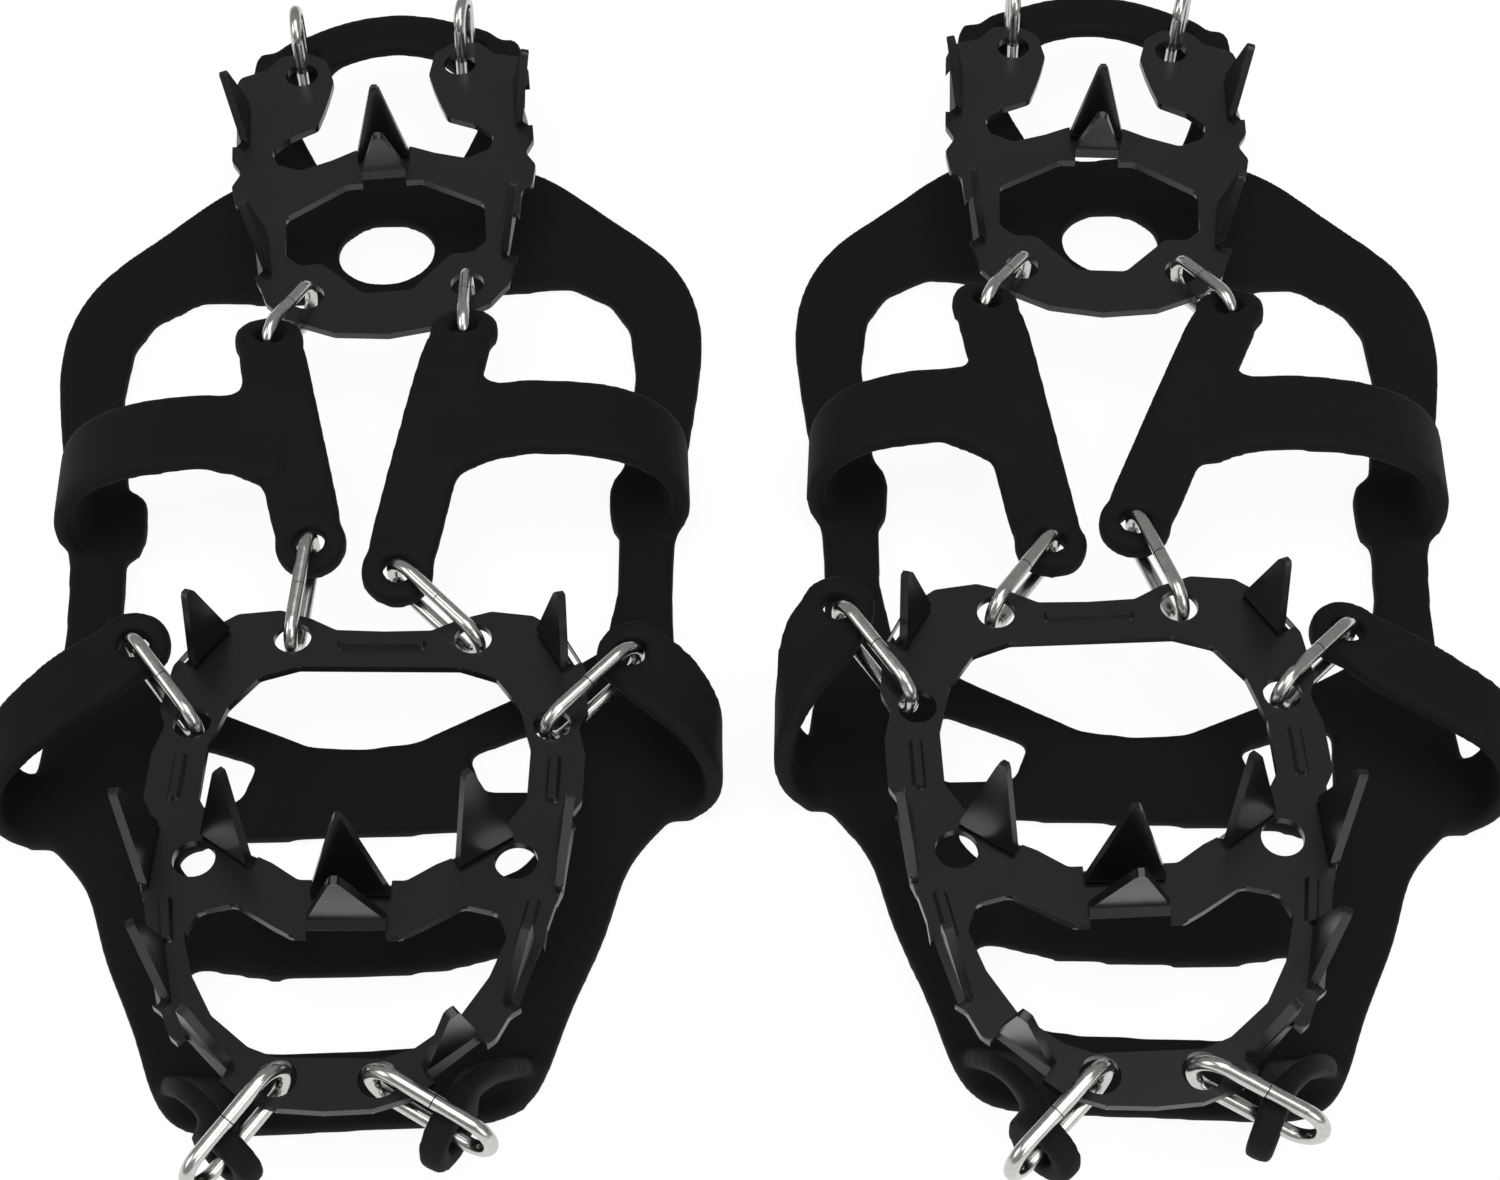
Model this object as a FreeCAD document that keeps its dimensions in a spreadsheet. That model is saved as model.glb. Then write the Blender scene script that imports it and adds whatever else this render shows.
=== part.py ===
import FreeCAD, Part
import Sketcher
import math
import os
from FreeCAD import Placement, Rotation, Vector

# A pair of strap-on ice cleats, lying with their spikes up.  Each cleat is a moulded rubber
# harness, a heel plate and a forefoot plate of stamped steel, and ten split wire links that
# tie the plates to the straps.  +X is to the wearer's side, +Y to the heel, +Z up.

doc = FreeCAD.newDocument("ShoeIceCleats")
sheet = doc.addObject("Spreadsheet::Sheet", "Sizes")

# Driving dimensions in millimetres and degrees.
DRIVING_SIZES = (
    ("pair_pitch", 150.0),
    ("pair_side_shift", -0.9),
    ("pair_rear_shift", -15.2),
    # rubber harness
    ("strap_thickness", 3.6),
    ("boss_thickness", 5.0),
    ("boss_diameter", 15.0),
    ("toe_boss_diameter", 13.6),
    ("strap_hole", 6.6),
    ("tee_width", 14.0),
    ("tee_end_run", 9.0),
    ("mid_strap_width", 18.0),
    ("side_strap_width", 15.0),
    ("toe_tab_width", 13.0),
    ("heel_leg_width", 11.0),
    ("heel_band_width", 11.5),
    ("heel_band_height", 20.0),
    ("heel_boss_thickness", 4.0),
    ("fold_reach", 66.0),
    ("side_fold_reach", 67.0),
    ("mid_strap_station", 27.0),
    ("side_fold_station", -42.0),
    ("finger_hole_width", 21.0),
    ("finger_hole_length", 20.0),
    ("finger_hole_station", 102.0),
    # stamped plates
    ("plate_thickness", 1.6),
    ("plate_hole", 7.0),
    ("round_hole", 7.6),
    ("bead_width", 1.8),
    ("bead_rise", 0.6),
    ("corner_radius", 2.2),
    ("spike_base", 14.5),
    ("spike_rise", 21.0),
    ("spike_lean", 2.0),
    ("spike_tip", 0.6),
    ("heel_spike_base", 11.5),
    ("heel_spike_rise", 18.5),
    # split wire links
    ("wire_diameter", 2.6),
    ("link_length", 26.0),
    ("heel_link_length", 23.5),
    ("link_width", 11.5),
    ("link_split", 0.2),
    # play between wire and hole edge
    ("link_gap", 0.5),
    ("strap_gap", 0.9),
    ("taut_strap_gap", 1.7),
    ("toe_gap", 0.6),
    ("standing_link_gap", 0.8),
    ("standing_link_lift", 1.5),
)
for row, (alias, value) in enumerate(DRIVING_SIZES, start=1):
    sheet.set(f"A{row}", alias.replace("_", " "))
    sheet.set(f"B{row}", str(value))
    sheet.setAlias(f"B{row}", alias)
doc.recompute()


def size(alias):
    """The value of one driving dimension."""
    return float(sheet.get(alias))


# ---------------------------------------------------------------- shared geometry helpers
def drop_straight_corners(points):
    """The points of a closed polygon at which it really turns."""
    kept = []
    for index, corner in enumerate(points):
        before = corner - points[index - 1]
        after = points[(index + 1) % len(points)] - corner
        if before.getAngle(after) > 1e-3:
            kept.append(corner)
    return kept


def rounded_outline(corners, radius):
    """Lines and tangent arcs round a closed polygon, each corner eased by up to radius."""
    points = drop_straight_corners([Vector(x, y, 0) for x, y in corners])
    starts, arcs, ends = [], [], []
    for index, corner in enumerate(points):
        before = points[index - 1] - corner
        after = points[(index + 1) % len(points)] - corner
        half_turn = before.getAngle(after) / 2
        longest_trim = 0.45 * min(before.Length, after.Length)
        trim = min(radius / math.tan(half_turn), longest_trim)
        start = corner + before.normalize() * trim
        end = corner + after.normalize() * trim
        middle_axis = (before + after).normalize()
        eased = trim * math.tan(half_turn)
        middle = corner + middle_axis * (eased / math.sin(half_turn) - eased)
        starts.append(start)
        arcs.append(Part.Arc(start, middle, end))
        ends.append(end)
    shapes = []
    for index, arc in enumerate(arcs):
        shapes.append(arc)
        shapes.append(Part.LineSegment(ends[index], starts[(index + 1) % len(arcs)]))
    return shapes


def both_sides(half):
    """A closed outline from its right half, given from the rear centre line to the front."""
    left = [(-x, y) for x, y in reversed(half) if x > 0]
    return list(half) + left


def slab(edges, bottom, thickness):
    """A flat solid from one closed outline."""
    wire = Part.Wire([edge.toShape() for edge in edges])
    face = Part.Face(wire)
    face.translate(Vector(0, 0, bottom))
    return face.extrude(Vector(0, 0, thickness))


def smooth_loop(corners):
    """One closed curve through the given points."""
    curve = Part.BSplineCurve()
    curve.interpolate([Vector(x, y, 0) for x, y in corners], PeriodicFlag=True)
    return [curve]


def ribbon(stations, thickness):
    """A strap of rectangular section through stations of (centre, across direction, width)."""
    sections = []
    for index, (centre, across, width) in enumerate(stations):
        before = stations[max(index - 1, 0)][0]
        after = stations[min(index + 1, len(stations) - 1)][0]
        run = (after - before).normalize()
        side = (across - run * across.dot(run)).normalize()
        rise = run.cross(side)
        half_side = side * (width / 2)
        half_rise = rise * (thickness / 2)
        corners = [centre + half_side + half_rise, centre - half_side + half_rise,
                   centre - half_side - half_rise, centre + half_side - half_rise]
        sections.append(Part.makePolygon(corners + corners[:1]))
    return Part.makeLoft(sections, True, True)


def disc(centre, axis, diameter, thickness):
    """A round boss or a hole tool, centred on its middle plane."""
    return Part.makeCylinder(diameter / 2, thickness, centre - axis * (thickness / 2), axis)


def heading(azimuth, elevation=0.0):
    """A unit vector from its compass angle about Z and its rise."""
    turn, rise = math.radians(azimuth), math.radians(elevation)
    return Vector(math.cos(turn) * math.cos(rise), math.sin(turn) * math.cos(rise), math.sin(rise))


# ------------------------------------------------------------------------- stamped plates
def add_flat_sketch(body, name, height=0.0):
    """A sketch on the body's own XY plane, raised by height."""
    sketch = body.newObject("Sketcher::SketchObject", name)
    plane = [item for item in body.Origin.OriginFeatures if item.Role == "XY_Plane"][0]
    sketch.AttachmentSupport = [(plane, "")]
    sketch.MapMode = "FlatFace"
    sketch.AttachmentOffset = Placement(Vector(0, 0, height), Rotation())
    return sketch


def add_spike(body, name, foot, azimuth, base, rise, lean):
    """A pointed tooth bent up from the plate edge at foot, facing azimuth and leaning that way."""
    sketch = add_flat_sketch(body, name + "_outline")
    outward = heading(azimuth)
    along = Vector(0, 0, 1).cross(outward)
    up = heading(azimuth, 90 - lean)
    normal = along.cross(up)
    turn = Rotation(along, up, normal, "XYZ")
    sketch.AttachmentOffset = Placement(Vector(foot[0], foot[1], size("plate_thickness") / 2), turn)
    tip = size("spike_tip")
    corners = [(base / 2, 0), (tip, rise), (-tip, rise), (-base / 2, 0)]
    sketch.addGeometry(rounded_outline(corners, tip), False)
    pad = body.newObject("PartDesign::Pad", name)
    pad.Profile = sketch
    pad.SideType = "Symmetric"
    pad.setExpression("Length", "Sizes.plate_thickness")
    return pad


def make_plate(label, outline, windows, holes, beads, side_spikes, centre_spikes):
    """A stamped plate: one blank with its windows and holes, pressed beads and bent spikes."""
    body = doc.addObject("PartDesign::Body", label)
    body.Label = label
    blank = add_flat_sketch(body, label + "_blank")
    blank.addGeometry(rounded_outline(both_sides(outline), size("corner_radius")), False)
    for window in windows:
        blank.addGeometry(rounded_outline(window, size("corner_radius")), False)
    for x, y, diameter in holes:
        for side in (-1, 1):
            blank.addGeometry(Part.Circle(Vector(side * x, y, 0), Vector(0, 0, 1), diameter / 2), False)
    pad = body.newObject("PartDesign::Pad", label + "_sheet")
    pad.Profile = blank
    pad.setExpression("Length", "Sizes.plate_thickness")
    for index, (x, y, length, azimuth) in enumerate(beads):
        bead = add_flat_sketch(body, f"{label}_bead_{index}_outline", size("plate_thickness"))
        along = heading(azimuth)
        across = Vector(-along.y, along.x, 0)
        middle = Vector(x, y, 0)
        half = along * (length / 2)
        ease = across * (size("bead_width") / 2)
        cap = along * (size("bead_width") / 2)
        bead.addGeometry([Part.LineSegment(middle - half + ease, middle + half + ease),
                          Part.Arc(middle + half + ease, middle + half + cap, middle + half - ease),
                          Part.LineSegment(middle + half - ease, middle - half - ease),
                          Part.Arc(middle - half - ease, middle - half - cap, middle - half + ease)],
                         False)
        rib = body.newObject("PartDesign::Pad", f"{label}_bead_{index}")
        rib.Profile = bead
        rib.setExpression("Length", "Sizes.bead_rise")
    right_spikes = []
    for name, foot, azimuth, base, rise, lean in side_spikes:
        right_spikes.append(add_spike(body, f"{label}_{name}", foot, azimuth, base, rise, lean))
    mirror = body.newObject("PartDesign::Mirrored", label + "_left_spikes")
    mirror.Originals = right_spikes
    plane = [item for item in body.Origin.OriginFeatures if item.Role == "YZ_Plane"][0]
    mirror.MirrorPlane = (plane, [""])
    body.Tip = mirror
    for name, foot, azimuth, base, rise, lean in centre_spikes:
        add_spike(body, f"{label}_{name}", foot, azimuth, base, rise, lean)
    return body


# Heel plate, about its own middle: two rear lobes, a crossbar, a five-sided window and a
# rounded front bar.  Each outline is given as its right half, rear to front.
HEEL_REAR_HOLE = (17.5, 34.0)
HEEL_FRONT_HOLE = (16.5, -34.0)
HEEL_OUTLINE = [(0, 8.5), (6, 8.5), (11, 6), (18, 3.5), (23, 6), (24, 10), (20, 14), (14, 17),
                (12.5, 22), (11.5, 26), (10.5, 31), (12, 38), (16, 41), (22, 40.5), (25, 36.5),
                (31, 34.5), (32.5, 30), (32.5, 8), (30.5, 4), (32.5, 0), (31.5, -6), (29, -8),
                (28.4, -14), (27.2, -28), (26, -31), (25, -35), (21, -40), (11, -45), (0, -46.5)]
HEEL_WINDOW = [(8, -2), (21, -10.5), (21, -22), (18, -25), (13.5, -25), (5, -34.5), (-5, -34.5),
               (-13.5, -25), (-18, -25), (-21, -22), (-21, -10.5), (-8, -2)]

# Forefoot plate: rear bar, two side struts, a crossbar and a front bar round two windows.
REAR_HOLE = (17.0, 46.9)
SIDE_HOLE = (33.1, 26.8)
ROUND_HOLE = (28.5, -3.2)
FRONT_HOLE = (8.5, -46.9)
FOREFOOT_OUTLINE = [(0, 48.5), (9, 48.8), (14, 51.5), (20, 53.5), (28, 52.5), (34, 48), (38.5, 40),
                    (39.5, 30), (38, 26), (39.5, 20), (39.5, 10), (37.5, 6.5), (39.5, 2),
                    (39, -8), (36, -12), (34.8, -17), (34.5, -21), (31.5, -33), (29.5, -34.5),
                    (27.5, -39), (15, -50), (8, -52.5), (0, -53)]
REAR_WINDOW = [(15, 40), (22, 37.5), (27, 30.5), (29.5, 21), (29.5, 10), (26, 4), (18.5, -2),
               (14.5, -4), (9.5, -7.5), (-9.5, -7.5), (-14.5, -4), (-18.5, -2), (-26, 4),
               (-29.5, 10), (-29.5, 21), (-27, 30.5), (-22, 37.5), (-15, 40)]
FRONT_WINDOW = [(9.5, -19), (13, -17), (20, -12.5), (26, -14), (28, -19), (25.5, -27),
                (21, -35), (14, -41), (9, -43), (-9, -43), (-14, -41), (-21, -35), (-25.5, -27),
                (-28, -19), (-26, -14), (-20, -12.5), (-13, -17), (-9.5, -19)]


def make_heel_plate(label):
    base, rise, lean = size("heel_spike_base"), size("heel_spike_rise"), size("spike_lean")
    hole = size("plate_hole")
    return make_plate(
        label, HEEL_OUTLINE, [HEEL_WINDOW],
        [HEEL_REAR_HOLE + (hole,), HEEL_FRONT_HOLE + (hole,)], [],
        [("side_spike", (32.0, 19), 0, 1.2 * base, 0.84 * rise, lean),
         ("corner_spike", (27.5, -21), -5, 1.1 * base, 0.84 * rise, lean)],
        [("rear_spike", (0, 8.2), 90, base, rise, 0),
         ("front_spike", (0, -1.2), -90, 0.85 * base, 0.7 * rise, lean)])


def make_forefoot_plate(label):
    base, rise, lean = size("spike_base"), size("spike_rise"), size("spike_lean")
    hole = size("plate_hole")
    return make_plate(
        label, FOREFOOT_OUTLINE, [REAR_WINDOW, FRONT_WINDOW],
        [REAR_HOLE + (hole,), SIDE_HOLE + (hole,), FRONT_HOLE + (hole,),
         ROUND_HOLE + (size("round_hole"),)],
        [(0, 45.3, 15, 0), (34, 14.5, 9, 90), (-34, 14.5, 9, 90), (31.5, -16, 8, 80),
         (-31.5, -16, 8, 100)],
        [("rear_corner_spike", (34.2, 45.4), 30, 0.75 * base, 0.74 * rise, lean),
         ("side_spike", (38.8, -3), 0, base, 0.95 * rise, lean),
         ("inner_spike", (21.5, 0.7), 126, 0.8 * base, rise, lean),
         ("low_side_spike", (32.8, -27), -14, 0.9 * base, 0.8 * rise, lean),
         ("front_spike", (21.8, -43.6), -49, 0.78 * base, 0.8 * rise, lean)],
        [("centre_rear_spike", (0, -8.0), 90, base, rise, 0),
         ("centre_front_spike", (0, -18.2), -90, base, 0.8 * rise, lean)])


# ------------------------------------------------------------------------ split wire links
def make_link(label, length):
    """An oval link of round wire, butted but not welded in the middle of one long side.

    It lies in its own XZ plane with its long axis on X and the split on the upper side.
    """
    wire = size("wire_diameter")
    bend = (size("link_width") - wire) / 2
    reach = (length - wire) / 2 - bend
    split = size("link_split") / 2
    body = doc.addObject("PartDesign::Body", label)
    body.Label = label
    planes = {item.Role: item for item in body.Origin.OriginFeatures}
    spine = body.newObject("Sketcher::SketchObject", label + "_path")
    spine.AttachmentSupport = [(planes["XZ_Plane"], "")]
    spine.MapMode = "FlatFace"
    corner = [Vector(split, bend, 0), Vector(reach, bend, 0), Vector(reach, -bend, 0),
              Vector(-reach, -bend, 0), Vector(-reach, bend, 0), Vector(-split, bend, 0)]
    spine.addGeometry([Part.LineSegment(corner[0], corner[1]),
                       Part.Arc(corner[1], Vector(reach + bend, 0, 0), corner[2]),
                       Part.LineSegment(corner[2], corner[3]),
                       Part.Arc(corner[3], Vector(-reach - bend, 0, 0), corner[4]),
                       Part.LineSegment(corner[4], corner[5])], False)
    section = body.newObject("Sketcher::SketchObject", label + "_section")
    section.AttachmentSupport = [(planes["YZ_Plane"], "")]
    section.MapMode = "FlatFace"
    section.AttachmentOffset = Placement(Vector(0, 0, split), Rotation())
    section.addGeometry(Part.Circle(Vector(0, bend, 0), Vector(0, 0, 1), wire / 2), False)
    section.addConstraint(Sketcher.Constraint("Radius", 0, wire / 2))
    section.setExpression("Constraints[0]", "Sizes.wire_diameter / 2")
    pipe = body.newObject("PartDesign::AdditivePipe", label + "_wire")
    pipe.Profile = section
    pipe.Spine = spine
    return body


class LinkSeat:
    """Where a link hangs from a plate hole, and where its far end carries a strap.

    The end bends cross each hole square to the sheet, off the hole's centre by the play
    between wire and hole less a small gap.  A taut link pulls toward its own middle.
    """

    def __init__(self, plate, hole, length, azimuth, elevation, taut=False):
        wire = size("wire_diameter")
        bend = (size("link_width") - wire) / 2
        reach = (length - wire) / 2 - bend
        pull = 1 if taut else -1
        normal = plate.Rotation.multVec(Vector(0, 0, 1))
        start = plate.multVec(Vector(hole[0], hole[1], size("plate_thickness") / 2))
        self.along = heading(azimuth, elevation)
        self.azimuth = azimuth
        near = (self.along - normal * self.along.dot(normal)).normalize()
        near_play = (size("plate_hole") - wire) / 2 - size("link_gap")
        far_gap = size("taut_strap_gap") if taut else size("strap_gap")
        far_play = (size("strap_hole") - wire) / 2 - far_gap
        near_bend = start + near * (pull * near_play + bend)
        self.middle = near_bend + self.along * reach
        far_bend = self.middle + self.along * reach
        self.strap_hole = far_bend + self.along * (bend + pull * far_play)
        self.far_bend = far_bend
        self.up = Vector(0, 0, 1) - self.along * self.along.z
        self.up.normalize()
        self.bend = bend
        side = self.up.cross(self.along)
        self.placement = Placement(self.middle, Rotation(self.along, side, self.up, "XYZ"))


class StandingSeat:
    """A link that stands on end: one long side in the plate hole, the other in the strap's."""

    def __init__(self, plate, hole, azimuth, lean):
        wire = size("wire_diameter")
        self.bend = (size("link_width") - wire) / 2
        start = plate.multVec(Vector(hole[0], hole[1], 0))
        self.along = heading(azimuth, 90 - lean)
        across = heading(azimuth, -lean)
        play = (size("plate_hole") - wire) / 2 - size("standing_link_gap")
        lift = size("standing_link_lift")
        self.middle = start + heading(azimuth) * play + across * self.bend + self.along * lift
        drop = (self.middle.z - size("heel_band_height")) / self.along.z
        rear_side = self.middle + across * self.bend - self.along * drop
        strap_play = (size("strap_hole") - wire) / 2 - size("strap_gap")
        self.strap_hole = rear_side + heading(azimuth) * strap_play
        side = across.cross(self.along)
        self.placement = Placement(self.middle, Rotation(self.along, side * -1, across * -1, "XYZ"))


# -------------------------------------------------------------------------- rubber harness
# Lower layer of the harness, right half, rear to front: the heel panel, the side bands that
# run round the shoe, and the toe end.
HARNESS_OUTLINE = [(0, 128), (24, 128), (34, 124), (49, 110), (62, 96), (68, 80), (67.5, 60), (63, 32),
                   (60, 2), (61, -22), (60, -46), (51, -58), (46, -72), (38, -92), (30, -108),
                   (14, -110.5), (0, -110.5)]
SHOE_WINDOW = [(0, 88), (28, 89), (40, 90), (49, 84), (53, 76), (54, 62), (50, 30), (49, 4), (46, -10),
               (32, -19), (10, -30), (0, -31)]
PANEL_WINDOW = [(38, -26), (20, -33), (23, -42), (37, -43)]
SLIT_WINDOW = [(0, -50), (26, -50), (35, -53), (30, -59.5), (18, -64), (0, -67)]
TOE_WINDOW = [(0, -80), (16, -79.5), (32, -76), (29, -87), (24, -94), (12, -95.5), (0, -95.5)]

# Side views of the two folded straps, as shares of their reach from the centre line and of
# the height that they fold up to.  A strap starts level inside the lower layer.
ROOT_SHARES = {"mid": (0.76, 0.9), "side": (0.8, 0.92)}
MID_FOLD = ((0.97, 0.2), (1, 0.45), (0.98, 0.75), (0.91, 0.95), (0.74, 1))
SIDE_FOLD = ((0.98, 0.25), (1, 0.55), (0.97, 0.95))

# Where the toe tabs and the heel legs leave the lower layer, on the right.
TOE_TAB_ROOT = (27, -100)
HEEL_LEG_ROOT = ((19, 118), (20, 126))
HEEL_LEG_TURN = (26, 135)


def root_level():
    """Height of a strap's middle where it starts inside the lower layer."""
    return 0.45 * size("strap_thickness")


def tee_piece(top_seat, bottom_seat, side):
    """The upright piece between heel and forefoot links, with the strap that folds up to it."""
    thickness, width = size("strap_thickness"), size("tee_width")
    top, bottom = top_seat.strap_hole, bottom_seat.strap_hole
    easing = size("tee_end_run")
    lengthwise = Vector(bottom.x - top.x, bottom.y - top.y, 0).normalize()
    after_top = top + lengthwise * easing + Vector(0, 0, top_seat.along.z * easing)
    before_bottom = bottom - lengthwise * easing + Vector(0, 0, bottom_seat.along.z * easing)
    stem_path = [top, after_top, before_bottom, bottom]
    stem = ribbon([(centre, Vector(1, 0, 0), width) for centre in stem_path], thickness)
    station, strap = size("mid_strap_station"), size("mid_strap_width")
    share = (stem_path[1].y - station) / (stem_path[1].y - stem_path[2].y)
    joint = stem_path[1] + (stem_path[2] - stem_path[1]) * share
    reach, height = size("fold_reach") * side, joint.z
    path = [(share * reach, root_level()) for share in ROOT_SHARES["mid"]]
    path += [(share * reach, rise * height) for share, rise in MID_FOLD]
    path.append((joint.x, height))
    fold = ribbon([(Vector(x, station, z), Vector(0, 1, 0), strap) for x, z in path], thickness)
    return [fold, stem, boss(top_seat), boss(bottom_seat)]


def boss(seat):
    """The thickened round end that a link passes through."""
    return disc(seat.strap_hole, seat.up, size("boss_diameter"), size("boss_thickness"))


def side_tab(seat, side):
    """The strap that folds up from the side band and ends in a boss beside the forefoot plate."""
    hole = seat.strap_hole
    reach, station = size("side_fold_reach") * side, size("side_fold_station")
    width = size("side_strap_width")
    path = [(share * reach, root_level()) for share in ROOT_SHARES["side"]]
    path += [(share * reach, rise * hole.z) for share, rise in SIDE_FOLD]
    fold = [(Vector(x, station, z), Vector(0, 1, 0), width) for x, z in path]
    elbow = (fold[-1][0] + hole) * 0.5
    elbow.z = hole.z + 0.7 * seat.along.z * (elbow - hole).Length
    fold.append((elbow, Vector(0.3 * side, 1, 0), width))
    fold.append((hole, Vector(0.5 * side, 1, 0), width))
    return [ribbon(fold, size("strap_thickness")), boss(seat)]


def toe_tab(seat, side):
    """The strap end that stands on edge at the toe, with the link's lower side through it."""
    hole = toe_hole(seat)
    axis = heading(seat.azimuth)
    width = size("toe_tab_width")
    root = Vector(TOE_TAB_ROOT[0] * side, TOE_TAB_ROOT[1], root_level())
    flat = Vector(side, 0, 0)
    path = []
    steps = 5
    for step in range(steps + 1):
        share = step / steps
        turn = math.radians(90 * min(1, 1.25 * share))
        centre = root + (hole - root) * share
        centre.z = root.z + (hole.z - root.z) * math.sin(turn)
        across = flat * math.cos(turn) + Vector(0, 0, 1) * math.sin(turn)
        path.append((centre, across, width))
    boss = disc(hole, axis, size("toe_boss_diameter"), size("boss_thickness"))
    return [ribbon(path, size("strap_thickness")), boss]


def toe_hole(seat):
    """Centre of the toe tab's hole, on the lower long side of its link."""
    clear = size("boss_thickness") / 2 + size("toe_gap")
    return seat.far_bend - seat.up * seat.bend - seat.along * clear


def make_harness(label, seats):
    """The moulded rubber harness, one piece: lower layer, folded straps, tabs and bosses."""
    thickness = size("strap_thickness")
    body = slab(smooth_loop(both_sides(HARNESS_OUTLINE)), 0, thickness)
    for window in (SHOE_WINDOW, SLIT_WINDOW, TOE_WINDOW):
        body = body.cut(slab(rounded_outline(both_sides(window), 4), -1, thickness + 2))
    for side in (-1, 1):
        window = [(side * x, y) for x, y in PANEL_WINDOW]
        body = body.cut(slab(rounded_outline(window, 2), -1, thickness + 2))
    finger = Part.Ellipse(Vector(0, size("finger_hole_station"), 0), size("finger_hole_width") / 2,
                          size("finger_hole_length") / 2)
    body = body.cut(slab([finger], -1, thickness + 2))
    shapes = []
    holes = []
    for side, name in ((-1, "left"), (1, "right")):
        top, bottom = seats["heel_front_" + name], seats["forefoot_rear_" + name]
        beside, toe = seats["forefoot_side_" + name], seats["toe_" + name]
        rear = seats["heel_rear_" + name]
        shapes += tee_piece(top, bottom, side)
        shapes += side_tab(beside, side)
        shapes += toe_tab(toe, side)
        shapes += heel_tab(rear.strap_hole, side)
        holes += [(seat.strap_hole, seat.up) for seat in (top, bottom, beside)]
        holes += [(rear.strap_hole, Vector(0, 0, 1)), (toe_hole(toe), heading(toe.azimuth))]
    shapes.append(heel_band(seats))
    body = body.fuse(shapes)
    for centre, axis in holes:
        body = body.cut(disc(centre, axis, size("strap_hole"), 3 * size("boss_thickness")))
    below = size("pair_pitch") * 2
    body = body.cut(Part.makeBox(2 * below, 2 * below, below, Vector(-below, -below, -below)))
    feature = doc.addObject("Part::Feature", label)
    feature.Label = label
    feature.Shape = body.Solids[0]
    return feature


def heel_tab(hole, side):
    """The leg that rises beside the link from the heel panel to the boss behind the heel plate."""
    width = size("heel_leg_width")
    across = Vector(1, 0, 0)
    outer = hole.x + 8 * side
    path = [(Vector(x * side, y, root_level()), across, width) for x, y in HEEL_LEG_ROOT]
    turn_x, turn_y = HEEL_LEG_TURN
    path += [(Vector(0.5 * (turn_x * side + outer), turn_y, 0.45 * hole.z), across, 0.85 * width),
             (Vector(outer, hole.y - 4, 0.92 * hole.z), across, 0.75 * width),
             (Vector(outer - side, hole.y + 3, hole.z), across, 0.75 * width)]
    tab = disc(hole, Vector(0, 0, 1), size("boss_diameter"), size("heel_boss_thickness"))
    return [ribbon(path, size("strap_thickness")), tab]


def heel_band(seats):
    """The arched band that joins the two heel tabs."""
    left, right = seats["heel_rear_left"].strap_hole, seats["heel_rear_right"].strap_hole
    middle = (left + right) * 0.5 + Vector(0, 7, 0)
    stations = []
    for step in range(9):
        share = step / 8
        chord = left + (right - left) * share
        bulge = 4 * share * (1 - share)
        centre = chord + (middle - (left + right) * 0.5) * bulge
        centre.z = size("heel_band_height")
        stations.append((centre, Vector(0, 1, 0), size("heel_band_width")))
    return ribbon(stations, size("strap_thickness"))


# ---------------------------------------------------------------------------- the two cleats
# How each cleat happens to lie: its plates' places in the cleat's own frame (x, y, height,
# pitch, yaw), and each link's compass angle and rise (or lean), and whether it is taut.
LAY = {
    "left": {
        "cleat": (-0.5, 2.0),
        "heel_plate": (2, 102, 24, 0, 3),
        "forefoot_plate": (2.5, -66, 22, -2, -3.5),
        "heel_front_left": (-111, 17), "heel_front_right": (-90, 17),
        "forefoot_rear_left": (82, 12), "forefoot_rear_right": (135, 12),
        "forefoot_side_left": (125, 8), "forefoot_side_right": (42, 8),
        "toe_left": (-132, -14), "toe_right": (-30, -14),
        "heel_rear_left": (93, 8), "heel_rear_right": (80, 8),
    },
    "right": {
        "cleat": (0.5, -3.5),
        "heel_plate": (-5, 105, 24, 0, 0),
        "forefoot_plate": (-7, -69, 28, 2, 5),
        "heel_front_left": (-117, 17), "heel_front_right": (-61, 17),
        "forefoot_rear_left": (59, -4), "forefoot_rear_right": (111, 0),
        "forefoot_side_left": (126, 4, True), "forefoot_side_right": (50, -6),
        "toe_left": (-133, -14), "toe_right": (-22, -14),
        "heel_rear_left": (93, 8), "heel_rear_right": (74, 8),
    },
}


def pose(x, y, height, pitch, yaw):
    """A placement from its place, its rocking about X and its turn about Z."""
    turn = Rotation(Vector(0, 0, 1), yaw) * Rotation(Vector(1, 0, 0), pitch)
    return Placement(Vector(x, y, height), turn)


def link_length(key):
    """The two links in front of the heel plate are the short ones."""
    return size("heel_link_length") if key.startswith("heel_front") else size("link_length")


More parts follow.
